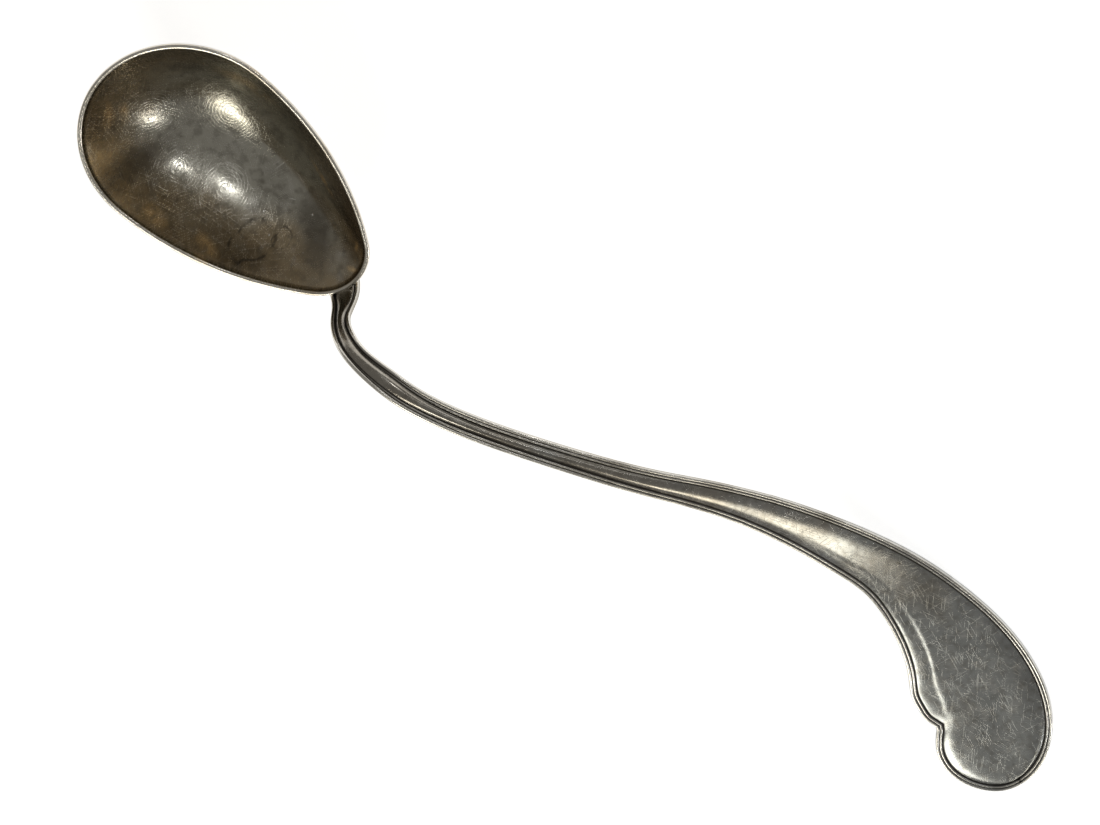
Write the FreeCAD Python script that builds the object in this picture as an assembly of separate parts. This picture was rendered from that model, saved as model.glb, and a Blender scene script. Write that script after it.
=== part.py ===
import FreeCAD, Part
import math
import os
from collections import namedtuple

Vector = FreeCAD.Vector

# Serving ladle of silver-coloured metal, in one piece, lying as it comes to rest:
# on the bottom of its bowl and the flat end of its handle.
# Millimetres. Z is up and X runs from the bowl to the end of the handle.

# Bowl
bowl_length = 88.4          # inside the rim, from the blunt end to the tip at the handle
bowl_width = 57.8           # inside the rim, at its widest
bowl_depth = 26.0           # inside, under the rim
bowl_tip_radius = 13.5      # inside the rim, seen from above, at the tip
bowl_deepest = 40.0         # from the blunt end to the deepest place
bowl_fullness = 2.2         # 2 is a parabola, more is a fuller bowl
bowl_lean = 6.0             # degrees that the tip lies lower than the blunt end
bowl_heading = -1.7         # degrees that the bowl's axis turns from X
bowl_wall = 1.2
rim_bead_radius = 0.75
rim_bead_sides = 11

# Stem
stem_reach = 128.0          # along X, from the rim's tip to where the plate begins
stem_sway = 27.5            # sideways, over the same stretch
neck_rise = 29.3            # from the rim's tip to the top of the neck
stem_width = 7.2            # on the slim stretch
stem_thickness = 3.4        # from the spine to the back
stem_crown = 0.95           # height of the middle of the face over the spine

# Plate, the flat end of the handle
plate_length = 126.5        # along X
plate_width = 44.0          # scale of its outline, sideways
plate_thickness = 1.25      # from the spine to the back
plate_crown = 0.55          # height of the middle of the face over the spine
blank_allowance = 6.0       # stock outside the outline before it is cut

# Sides of the stem and the plate
face_edge = 0.60            # height of the face's edge over the spine
blank_droop = 0.30          # how much lower the edge of the uncut plate lies
side_depth = 0.60           # side of the stem under the spine
side_bulge = 0.40           # how far the sides stand out
side_ease = 0.28            # share of a side's height that is eased at each edge
tool_clearance = 3.0        # between the stem and the tool that cuts the plate

# Groove in the face, which sets off the border that runs along both edges
groove_width = 0.9
groove_depth = 0.35
groove_clearance = 0.5      # how far its tool stands over the face
neck_border = 1.5           # from the stem's edge to the groove, at the neck
plate_border = 2.20         # from the plate's edge to the groove
outer_steps = 24            # sections of the tool along the plate's outer edge and its end
notched_steps = 14          # sections of the tool along the notched edge

# Stations of the spine, the line that the stem and the plate follow.
# reach and sway: shares of stem_reach and stem_sway, from the rim's tip
# climb: on the neck, share of neck_rise over the rim's tip
# fall: behind the neck, height over the plate's as a share of the neck's top
# roll: degrees that the decorated face turns to the side of the sway
# width and back: shares of stem_width and stem_thickness
Neck = namedtuple("Neck", "reach sway climb roll width back")
Fall = namedtuple("Fall", "reach sway fall roll width back")
neck_stations = [
    Neck(-0.050, -0.09, -0.320, 14, 1.45, 0.55),
    Neck(0.010, -0.17, 0.020, 24, 1.24, 0.85),
    Neck(0.024, -0.21, 0.350, 32, 0.83, 1.00),
    Neck(0.046, -0.20, 0.620, 34, 0.85, 1.00),
    Neck(0.091, -0.15, 0.845, 34, 0.92, 1.00),
    Neck(0.163, -0.075, 0.980, 32, 1.03, 0.97),
    Neck(0.249, -0.01, 1.000, 30, 1.01, 0.92),
]
fall_stations = [
    Fall(0.379, 0.15, 0.960, 25, 1.00, 0.86),
    Fall(0.554, 0.39, 0.845, 19, 1.05, 0.78),
    Fall(0.729, 0.63, 0.690, 14, 1.20, 0.68),
    Fall(0.860, 0.83, 0.553, 10, 1.42, 0.60),
    Fall(1.000, 1.00, 0.407, 7, 1.72, 0.53),
]
# Stations of the plate: shares of plate_length along X and of plate_width sideways.
Plate = namedtuple("Plate", "reach sway fall roll blank")
plate_stations = [
    Plate(0.133, 0.064, 0.280, 5, 0.330),
    Plate(0.244, 0.095, 0.183, 3, 0.416),
    Plate(0.355, 0.100, 0.112, 2, 0.550),
    Plate(0.473, 0.052, 0.060, 0, 0.750),
    Plate(0.615, -0.061, 0.023, 0, 0.950),
    Plate(0.733, -0.164, 0.008, 0, 1.000),
    Plate(0.868, -0.300, 0.008, 0, 1.000),
    Plate(1.050, -0.460, 0.011, 0, 1.000),
]
# Outline of the plate in the same shares: the outer edge and the end, then the notched edge.
outer_edge = [
    (0.244, 0.287), (0.400, 0.350), (0.545, 0.368), (0.705, 0.324), (0.865, 0.157),
    (0.962, -0.095), (1.000, -0.380), (0.987, -0.584), (0.931, -0.727), (0.852, -0.764),
    (0.788, -0.684), (0.748, -0.580),
]
notched_edge = [
    (0.168, -0.105), (0.262, -0.102), (0.355, -0.105), (0.445, -0.172), (0.528, -0.274),
    (0.607, -0.420), (0.646, -0.507), (0.681, -0.550), (0.718, -0.577), (0.745, -0.558),
]


def natural_fit(values):
    """Cubic spline with free ends through values at the knots 0, 1, 2 and so on."""
    count = len(values)
    pivot = [1.0] * count
    bend = [0.0] * count
    for i in range(1, count - 1):
        before = 0.0 if i == 1 else 1.0
        share = before / pivot[i - 1]
        pivot[i] = 4.0 - share
        change = values[i + 1] - 2.0 * values[i] + values[i - 1]
        bend[i] = 6.0 * change - share * bend[i - 1]
    second = [0.0] * count
    for i in range(count - 2, 0, -1):
        second[i] = (bend[i] - second[i + 1]) / pivot[i]

    def value(at):
        i = min(max(int(math.floor(at)), 0), count - 2)
        b = at - i
        a = 1.0 - b
        cubic = (a ** 3 - a) * second[i] + (b ** 3 - b) * second[i + 1]
        return a * values[i] + b * values[i + 1] + cubic / 6.0

    return value


# Bowl

def egg_wire(length, width, tip_radius, blunt_x, height):
    """Closed outline of tangent arcs: a half circle, two flanks and the tip."""
    half = width / 2.0
    tip_x = blunt_x + length - tip_radius
    widest_x = blunt_x + half
    run = tip_x - widest_x
    flank = (run ** 2 + half ** 2 - tip_radius ** 2) / (2.0 * (half - tip_radius))
    drop = flank - half
    touch = math.atan2(drop, run)

    def on_arc(centre_x, centre_y, radius, angle):
        return Vector(centre_x + radius * math.cos(angle), centre_y + radius * math.sin(angle), height)

    def across(point):
        return Vector(point.x, -point.y, point.z)

    blunt = Vector(blunt_x, 0, height)
    blunt_middle = on_arc(widest_x, 0, half, 0.75 * math.pi)
    widest = Vector(widest_x, half, height)
    flank_middle = on_arc(widest_x, -drop, flank, (touch + math.pi / 2.0) / 2.0)
    tip_side = on_arc(tip_x, 0, tip_radius, touch)
    tip_middle = on_arc(tip_x, 0, tip_radius, touch / 2.0)
    tip = Vector(tip_x + tip_radius, 0, height)
    arcs = [
        (blunt, blunt_middle, widest),
        (widest, flank_middle, tip_side),
        (tip_side, tip_middle, tip),
        (tip, across(tip_middle), across(tip_side)),
        (across(tip_side), across(flank_middle), across(widest)),
        (across(widest), across(blunt_middle), blunt),
    ]
    return Part.Wire([Part.Arc(*points).toShape() for points in arcs])


def bowl_hull(grow, depth):
    """Solid of the bowl's form under the rim plane, larger all round by grow."""
    levels = [0.1, 0.22, 0.36, 0.5, 0.64, 0.77, 0.89, 1.0]
    start = -bowl_length / 2.0
    deepest = start + bowl_deepest
    sections = [Part.Vertex(deepest, 0, -depth)]
    for level in levels:
        blunt_x = deepest + level * (start - grow - deepest)
        height = -depth * (1.0 - level ** bowl_fullness)
        sections.append(egg_wire(level * (bowl_length + 2 * grow), level * (bowl_width + 2 * grow),
                                 level * (bowl_tip_radius + grow), blunt_x, height))
    return Part.makeLoft(sections, True, False)


def make_bowl():
    """Bowl with its rim at zero height, before it leans."""
    outside = bowl_hull(bowl_wall, bowl_depth + bowl_wall)
    inside = bowl_hull(0.0, bowl_depth)
    shell = outside.cut(inside)
    middle = bowl_wall / 2.0
    blunt_x = -bowl_length / 2.0 - middle
    path = egg_wire(bowl_length + 2 * middle, bowl_width + 2 * middle,
                    bowl_tip_radius + middle, blunt_x, 0.0)
    corners = []
    for i in range(rim_bead_sides + 1):
        angle = 2.0 * math.pi * (i % rim_bead_sides + 0.5) / rim_bead_sides
        corners.append(Vector(blunt_x + rim_bead_radius * math.cos(angle), 0,
                              rim_bead_radius * math.sin(angle)))
    bead = path.makePipeShell([Part.makePolygon(corners)], True, True)
    return shell.fuse(bead)


def lowest_under_rim():
    """Depth of the leaning bowl's lowest point under the middle of its rim."""
    lean = math.radians(bowl_lean)
    depth = bowl_depth + bowl_wall
    behind = bowl_deepest + bowl_wall
    ahead = bowl_length - bowl_deepest + bowl_wall
    lowest = 0.0
    for step in range(-200, 201):
        share = step / 200.0
        along = bowl_deepest - bowl_length / 2.0 + share * (behind if share < 0 else ahead)
        down = depth * (1.0 - abs(share) ** bowl_fullness)
        lowest = max(lowest, down * math.cos(lean) + along * math.sin(lean))
    return lowest


rim_height = lowest_under_rim()
rim_tip = Vector(bowl_length / 2.0, 0, 0)
lean_turn = FreeCAD.Rotation(Vector(0, 1, 0), bowl_lean)
heading_turn = FreeCAD.Rotation(Vector(0, 0, 1), bowl_heading)
bowl_place = FreeCAD.Placement(Vector(0, 0, rim_height), heading_turn.multiply(lean_turn))
rim_tip = bowl_place.multVec(rim_tip)


# Handle

def spine_points():
    """Points that the spine passes, from the bowl to the end of the plate."""
    points = []
    top = rim_tip.z + neck_rise
    for place in neck_stations:
        points.append(rim_tip + Vector(place.reach * stem_reach, place.sway * stem_sway,
                                       place.climb * neck_rise))
    for place in fall_stations:
        points.append(Vector(rim_tip.x + place.reach * stem_reach, rim_tip.y + place.sway * stem_sway,
                             plate_thickness + place.fall * (top - plate_thickness)))
    for place in plate_stations:
        height = plate_thickness + place.fall * (top - plate_thickness)
        points.append(plate_point(place.reach, place.sway, height))
    return points


def plate_point(reach, sway, height=0.0):
    """Point from shares of the plate's length and width."""
    return Vector(rim_tip.x + stem_reach + reach * plate_length,
                  rim_tip.y + stem_sway + sway * plate_width, height)


spine = spine_points()
spine_x = natural_fit([point.x for point in spine])
spine_y = natural_fit([point.y for point in spine])
spine_z = natural_fit([point.z for point in spine])
roll_at = natural_fit([place.roll for place in neck_stations + fall_stations + plate_stations])
stem_count = len(neck_stations) + len(fall_stations)
blank = [place.width * stem_width for place in neck_stations + fall_stations]
blank += [place.blank * (plate_width + blank_allowance) for place in plate_stations]
width_at = natural_fit([math.log(width) for width in blank])
back = [place.back * stem_thickness for place in neck_stations + fall_stations]
back += [plate_thickness] * len(plate_stations)
back_at = natural_fit(back)
last_stem = stem_count - 1


def frame_at(at):
    """Point on the spine, the direction across the face and the face's normal."""
    step = 0.01
    run = spine_x(at + step) - spine_x(at - step)
    climb = spine_z(at + step) - spine_z(at - step)
    slope = math.atan2(climb, run)
    roll = math.radians(roll_at(at))
    upright = Vector(-math.sin(slope), 0, math.cos(slope))
    side = Vector(0, 1, 0)
    across = side * math.cos(roll) - upright * math.sin(roll)
    normal = upright * math.cos(roll) + side * math.sin(roll)
    return Vector(spine_x(at), spine_y(at), spine_z(at)), across, normal


def plate_share(at):
    """0 on the stem, 1 on the plate, and between them over three stations."""
    return min(max((at - last_stem) / 3.0, 0.0), 1.0)


def half_at(at, inset):
    """Half the width of the uncut handle, less the inset."""
    return math.exp(width_at(at)) / 2.0 - inset


def face_height(at, across):
    """Height of the face over the surface that holds its edges."""
    share = plate_share(at)
    crown = stem_crown + share * (plate_crown - stem_crown)
    edge = face_edge - share * blank_droop
    return crown - (crown - edge) * (across / half_at(at, 0.0)) ** 2


def section(at):
    """Closed section of the handle: back, eased side, face, eased side."""
    centre, across, normal = frame_at(at)
    half = half_at(at, side_bulge)
    thick = back_at(at)
    under = side_depth + plate_share(at) * (thick - side_depth)
    edge = face_height(at, half)

    def place(u, v):
        return centre + across * u + normal * v

    def bent(first, last, middle):
        control = 2.0 * middle - (first[1] + last[1]) / 2.0
        curve = Part.BezierCurve()
        curve.setPoles([place(*first), place(0.0, control), place(*last)])
        return curve.toShape()

    def eased(first, last, way):
        reach = first[0] + way * side_bulge
        rise = side_ease * (last[1] - first[1])
        corners = [first, (reach, first[1] + rise), (reach, last[1] - rise), last]
        return Part.makePolygon([place(*corner) for corner in corners]).Edges

    low_right, low_left = (-half, -under), (half, -under)
    high_left, high_right = (half, edge), (-half, edge)
    edges = [bent(low_right, low_left, -thick)]
    edges += eased(low_left, high_left, 1)
    edges += [bent(high_left, high_right, face_height(at, 0.0))]
    edges += eased(high_right, low_right, -1)
    return Part.Wire(edges)


def plan_curve(shares, start):
    """Smooth curve seen from above, from the stem's edge through shares of the plate."""
    points = [Vector(start.x, start.y, 0)] + [plate_point(*share) for share in shares]
    curve = Part.BSplineCurve()
    curve.interpolate(points)
    return curve


def stem_edge(side):
    """Point on the stem's edge where the plate begins."""
    centre, across, normal = frame_at(last_stem)
    return centre + across * side * half_at(last_stem, 0.0)


outer_curve = plan_curve(outer_edge, stem_edge(1))
notched_curve = plan_curve(notched_edge, stem_edge(-1))


def right_way_out(solid):
    """The solid with its faces outwards."""
    if solid.Volume < 0:
        solid.reverse()
    return solid


def outline_prism():
    """Upright prism that leaves the stem whole and cuts the plate to its outline."""
    outer_start = outer_curve.StartPoint
    notched_start = notched_curve.StartPoint
    far = rim_tip.x - plate_width
    low = rim_tip.y - plate_width
    high = rim_tip.y + stem_sway + plate_width
    step = tool_clearance
    corners = [
        notched_start,
        notched_start + Vector(-step, -step, 0),
        Vector(notched_start.x - step, low, 0),
        Vector(far, low, 0),
        Vector(far, high, 0),
        Vector(outer_start.x - step, high, 0),
        outer_start + Vector(-step, step, 0),
        outer_start,
    ]
    edges = [
        outer_curve.toShape(),
        Part.makeLine(outer_curve.EndPoint, notched_curve.EndPoint),
        notched_curve.toShape(),
    ]
    edges += [Part.makeLine(corners[i], corners[i + 1]) for i in range(len(corners) - 1)]
    face = Part.Face(Part.Wire(Part.__sortEdges__(edges)))
    tall = rim_tip.z + neck_rise
    face.translate(Vector(0, 0, -tall))
    return face.extrude(Vector(0, 0, 3 * tall))


def station_of(x):
    """Station number where the plate's spine reaches x."""
    low = float(last_stem - 2)
    high = float(len(spine) - 1)
    for _ in range(40):
        middle = (low + high) / 2.0
        if spine_x(middle) < x:
            low = middle
        else:
            high = middle
    return (low + high) / 2.0


def face_surface(blank):
    """Surface of the blank's face."""
    centre, across, normal = frame_at(last_stem)
    top = Part.Vertex(centre + normal * face_height(last_stem, 0.0))
    return min(blank.Faces, key=lambda face: face.distToShape(top)[0]).Surface


def on_face(surface, place, normal):
    """Point where the line through place along the normal crosses the face."""
    reach = normal * stem_thickness
    point = Part.LineSegment(place - reach, place + reach).intersectCS(surface)[0][0]
    return Vector(point.X, point.Y, point.Z)


def groove_section(place, outwards, normal):
    """Triangle that cuts the groove at one place of the face."""
    bottom = place - normal * groove_depth
    top = place + normal * groove_clearance
    half = groove_width / 2.0 * (groove_depth + groove_clearance) / groove_depth
    return Part.makePolygon([bottom, top + outwards * half, top - outwards * half, bottom])


def meeting_length():
    """How far each groove runs on past the notch until they meet."""
    outer_end = outer_curve.tangent(outer_curve.LastParameter)[0]
    notched_end = notched_curve.tangent(notched_curve.LastParameter)[0]
    turn = (outer_end * -1).getAngle(notched_end)
    return plate_border * math.tan(turn / 2.0)


def groove_tool(surface, curve, side, steps):
    """Bar of triangular section along one edge: over the stem, then inside the plate's outline."""
    sections = []
    for i in range(2, 2 * last_stem):
        at = i / 2.0
        centre, across, normal = frame_at(at)
        border = neck_border + (plate_border - neck_border) * at / last_stem
        place = on_face(surface, centre + across * side * half_at(at, border), normal)
        sections.append(groove_section(place, across * side, normal))
    first = curve.FirstParameter
    last = curve.LastParameter
    overrun = [0.0] * steps + [meeting_length() / 2.0, meeting_length()]
    for i, beyond in enumerate(overrun):
        here = min(first + (last - first) * (i + 1) / steps, last)
        tangent = curve.tangent(here)[0]
        outwards = Vector(-tangent.y, tangent.x, 0) * side
        plan = curve.value(here) + tangent * beyond - outwards * plate_border
        at = station_of(plan.x)
        centre, across, normal = frame_at(at)
        place = on_face(surface, centre + across * ((plan.y - centre.y) / across.y), normal)
        sections.append(groove_section(place, outwards, normal))
    return right_way_out(Part.makeLoft(sections, True, False))


def make_handle():
    """Stem and plate, the plate cut to its outline and the face grooved inside its border."""
    sections = [section(float(at)) for at in range(len(spine))]
    blank = right_way_out(Part.makeLoft(sections, True, False))
    surface = face_surface(blank)
    handle = blank.common(outline_prism())
    handle = handle.cut(groove_tool(surface, outer_curve, 1, outer_steps))
    return handle.cut(groove_tool(surface, notched_curve, -1, notched_steps))


def make_ladle():
    """Bowl and handle in one piece, over the middle of its footprint."""
    bowl = make_bowl()
    bowl.Placement = bowl_place
    hollow = bowl_hull(0.0, bowl_depth)
    hollow.Placement = bowl_place
    ladle = bowl.fuse(make_handle().cut(hollow)).removeSplitter()
    box = ladle.optimalBoundingBox(False, False)
    ladle.translate(Vector(-box.Center.x, -box.Center.y, 0))
    return ladle


if __name__ == "__main__":
    ladle = make_ladle()
    os.makedirs("parts", exist_ok=True)
    ladle.Solids[0].exportStep("parts/ladle.step")
    print("ladle", ladle.isValid(), len(ladle.Solids), round(ladle.Volume, 1), ladle.BoundBox)
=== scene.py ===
"""Looks of an old silver-plated serving ladle that lies on a white table.

The ladle has an egg-shaped bowl with a beaded rim, a slender neck that rises from under the
rim, and a handle that widens to a flat end with a notch, all with a threaded border.
"""

import logging
import math
from dataclasses import dataclass, field
from enum import Enum
from typing import Sequence

import bpy
import bmesh
import numpy as np
from mathutils import Matrix, Vector

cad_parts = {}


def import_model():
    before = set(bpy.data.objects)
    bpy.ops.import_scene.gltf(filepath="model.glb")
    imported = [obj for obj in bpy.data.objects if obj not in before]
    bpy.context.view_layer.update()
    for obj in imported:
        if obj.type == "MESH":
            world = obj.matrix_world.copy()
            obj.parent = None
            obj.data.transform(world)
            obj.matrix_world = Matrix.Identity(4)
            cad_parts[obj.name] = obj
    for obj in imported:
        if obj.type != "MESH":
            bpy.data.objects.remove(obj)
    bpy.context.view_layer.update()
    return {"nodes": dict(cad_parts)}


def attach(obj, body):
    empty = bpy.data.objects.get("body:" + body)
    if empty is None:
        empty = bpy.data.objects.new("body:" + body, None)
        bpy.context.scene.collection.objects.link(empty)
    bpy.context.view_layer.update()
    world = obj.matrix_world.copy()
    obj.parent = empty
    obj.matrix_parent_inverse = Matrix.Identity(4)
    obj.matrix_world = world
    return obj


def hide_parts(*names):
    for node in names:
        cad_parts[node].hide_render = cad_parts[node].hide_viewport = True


MM = 0.001
WEAR = "wear"
# Mesh attribute for dark tarnish in grooves and for painted shade under edges.
GRIME_AND_SHADE = "grime_and_shade"
ZONE = "zone"
BODY = "root"
CAD_NODE = "ladle"
MERGE_DISTANCE = 0.00001
CURVE_SAMPLES = 4000
SPINE_SAMPLES = 3000
OUTLINE_SAMPLES = 6000
OUTLINE_THINNING = 40
SWIRL_SPACING = 0.00085
STROKE_SHIFT = (0.013, 0.007)
STROKE_EDGE = 0.05

# A mark reaches this far up and down, so that only its place seen from above counts.
MARK_HEIGHT = 1000.0

# Where the middle of the bowl's rim lies in the frame, seen from above, in mm.
RIM_MIDDLE = np.array([-126.6055, -6.2877, 0.0])

log = logging.getLogger("ladle")


class Side(Enum):
    """The two edges of the handle, named for the plate's outline."""

    OUTER = 1
    NOTCHED = -1


def unit(vectors: np.ndarray) -> np.ndarray:
    """Vectors of length one.

    Args:
        vectors: one vector, or rows of them.

    Returns:
        The same directions with length one.
    """
    lengths = np.linalg.norm(vectors, axis=-1, keepdims=True)
    return vectors / np.maximum(lengths, 1e-12)


class NaturalFit:
    """Cubic spline with free ends through values at the knots 0, 1, 2 and so on."""

    def __init__(self, values: Sequence[float]) -> None:
        """Solves for the spline's bends.

        Args:
            values: the value at each knot.
        """
        self.values = np.asarray(values, float)
        count = len(self.values)
        matrix = np.eye(count)
        right = np.zeros(count)
        for i in range(1, count - 1):
            matrix[i, i - 1 : i + 2] = (1.0, 4.0, 1.0)
            change = self.values[i + 1] - 2.0 * self.values[i] + self.values[i - 1]
            right[i] = 6.0 * change
        matrix[1, 0] = 0.0
        matrix[count - 2, count - 1] = 0.0
        self.bends = np.linalg.solve(matrix, right)

    def __call__(self, at: np.ndarray) -> np.ndarray:
        """Values between the knots.

        Args:
            at: places on the scale of the knots.

        Returns:
            The spline's values there.
        """
        at = np.asarray(at, float)
        i = np.clip(np.floor(at).astype(int), 0, len(self.values) - 2)
        b = at - i
        a = 1.0 - b
        bent = (a**3 - a) * self.bends[i] + (b**3 - b) * self.bends[i + 1]
        return a * self.values[i] + b * self.values[i + 1] + bent / 6.0


class ChordFit:
    """Cubic spline with free ends through values at uneven knots."""

    def __init__(self, knots: np.ndarray, values: np.ndarray) -> None:
        """Solves for the spline's bends.

        Args:
            knots: rising places of the values.
            values: the value at each knot.
        """
        self.knots = np.asarray(knots, float)
        self.values = np.asarray(values, float)
        gaps = np.diff(self.knots)
        slopes = np.diff(self.values) / gaps
        count = len(self.knots)
        matrix = np.eye(count)
        right = np.zeros(count)
        for i in range(1, count - 1):
            matrix[i, i - 1 : i + 2] = (gaps[i - 1], 2.0 * (gaps[i - 1] + gaps[i]), gaps[i])
            right[i] = 6.0 * (slopes[i] - slopes[i - 1])
        self.bends = np.linalg.solve(matrix, right)

    def __call__(self, at: np.ndarray) -> np.ndarray:
        """Values between the knots.

        Args:
            at: places on the scale of the knots.

        Returns:
            The spline's values there.
        """
        i = np.clip(np.searchsorted(self.knots, at, side="right") - 1, 0, len(self.knots) - 2)
        gap = self.knots[i + 1] - self.knots[i]
        b = (at - self.knots[i]) / gap
        a = 1.0 - b
        bent = (a**3 - a) * self.bends[i] + (b**3 - b) * self.bends[i + 1]
        return a * self.values[i] + b * self.values[i + 1] + bent * gap**2 / 6.0


def open_ring(name: str, count: int) -> bpy.types.Object:
    """Adds a circle and opens it in edit mode with all of it selected.

    Args:
        name: name of the new piece.
        count: corners of the circle.

    Returns:
        The piece, still in edit mode.
    """
    bpy.ops.object.select_all(action="DESELECT")
    bpy.ops.mesh.primitive_circle_add(vertices=count, radius=MM, fill_type="NOTHING")
    piece = bpy.context.view_layer.objects.active
    piece.name = name
    piece.data.name = name
    bpy.ops.object.mode_set(mode="EDIT")
    bpy.ops.mesh.select_mode(type="EDGE")
    bpy.ops.mesh.select_all(action="SELECT")
    return piece


@dataclass
class Ring:
    """Corners of one ring of a piece, with what the finish needs to know of each.

    wear is 1 where a raised edge is rubbed bright, grime is 1 where a groove holds dark
    tarnish and where painted shade falls under an edge, and zone tells the finish where on
    the piece a corner lies, from 0 to 1.
    """

    places: np.ndarray
    wear: np.ndarray
    grime_and_shade: np.ndarray
    zone: np.ndarray


def plain_ring(places: np.ndarray, wear: float, grime_and_shade: float, zone: float) -> Ring:
    """A ring with the same finish at each corner.

    Args:
        places: places of the corners, in mm.
        wear: how bright it is rubbed, 0 to 1.
        grime_and_shade: how dark it is, from tarnish in grooves and from painted shade under edges, 0 to
            1.
        zone: where on the piece it lies, 0 to 1.

    Returns:
        The ring.
    """
    even = np.ones(len(places))
    return Ring(places, wear * even, grime_and_shade * even, zone * even)


def extrude_through(piece: bpy.types.Object, rings: Sequence[Ring]) -> None:
    """Extrudes the piece's selected ring through a row of rings.

    Args:
        piece: an open ring in edit mode, as open_ring leaves it.
        rings: the rings, with as many corners each.
    """
    count = len(rings[0].places)
    mesh = bmesh.from_edit_mesh(piece.data)
    for name in (WEAR, GRIME_AND_SHADE, ZONE):
        mesh.verts.layers.float.new(name)
    bmesh.update_edit_mesh(piece.data)
    for i, ring in enumerate(rings):
        if i:
            bpy.ops.mesh.extrude_edges_move()
        mesh = bmesh.from_edit_mesh(piece.data)
        mesh.verts.ensure_lookup_table()
        first = len(mesh.verts) - count
        layers = [mesh.verts.layers.float[name] for name in (WEAR, GRIME_AND_SHADE, ZONE)]
        values = zip(ring.places, ring.wear, ring.grime_and_shade, ring.zone)
        for corner, (place, *finish) in zip(mesh.verts[first:], values):
            corner.co = Vector(place * MM)
            for layer, value in zip(layers, finish):
                corner[layer] = float(value)
        bmesh.update_edit_mesh(piece.data)


def close_piece() -> None:
    """Merges doubles, points the faces outwards and shades the piece in edit mode smooth."""
    bpy.ops.mesh.select_all(action="SELECT")
    bpy.ops.mesh.remove_doubles(threshold=MERGE_DISTANCE)
    bpy.ops.mesh.select_all(action="SELECT")
    bpy.ops.mesh.normals_make_consistent(inside=False)
    bpy.ops.object.mode_set(mode="OBJECT")
    bpy.ops.object.shade_smooth()


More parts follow.
